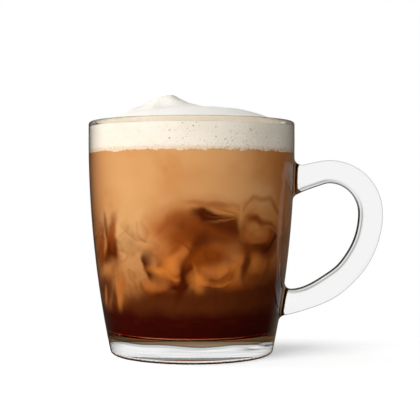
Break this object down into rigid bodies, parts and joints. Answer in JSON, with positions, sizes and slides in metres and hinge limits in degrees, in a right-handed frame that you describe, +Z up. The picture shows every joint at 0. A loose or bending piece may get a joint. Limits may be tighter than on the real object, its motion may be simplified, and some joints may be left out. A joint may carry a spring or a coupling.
{
  "type": "filled glass latte mug",
  "caption": "Clear glass mug with a drop-shaped side handle, filled with layered milky coffee under a domed and folded cap of milk foam.",
  "frame": {"origin": "the point where the mug's axis meets the surface it stands on", "axes": "+Z up along the mug's axis, +X from the axis towards the handle, -Y towards the viewer who has the handle on the right"},
  "size_m": [0.1208, 0.0848, 0.1071],
  "materials": {
    "clear_glass": "clear, smooth pressed glass",
    "dark_coffee": "dark red-brown coffee",
    "milky_coffee": "tan milky coffee, darker and swirled towards the bottom",
    "milk_foam": "fine cream-white milk foam"
  },
  "bodies": {
    "root": {"glass_mug": "clear_glass", "dark_coffee": "dark_coffee", "milky_coffee": "milky_coffee", "milk_foam": "milk_foam"}
  },
  "joints": []
}
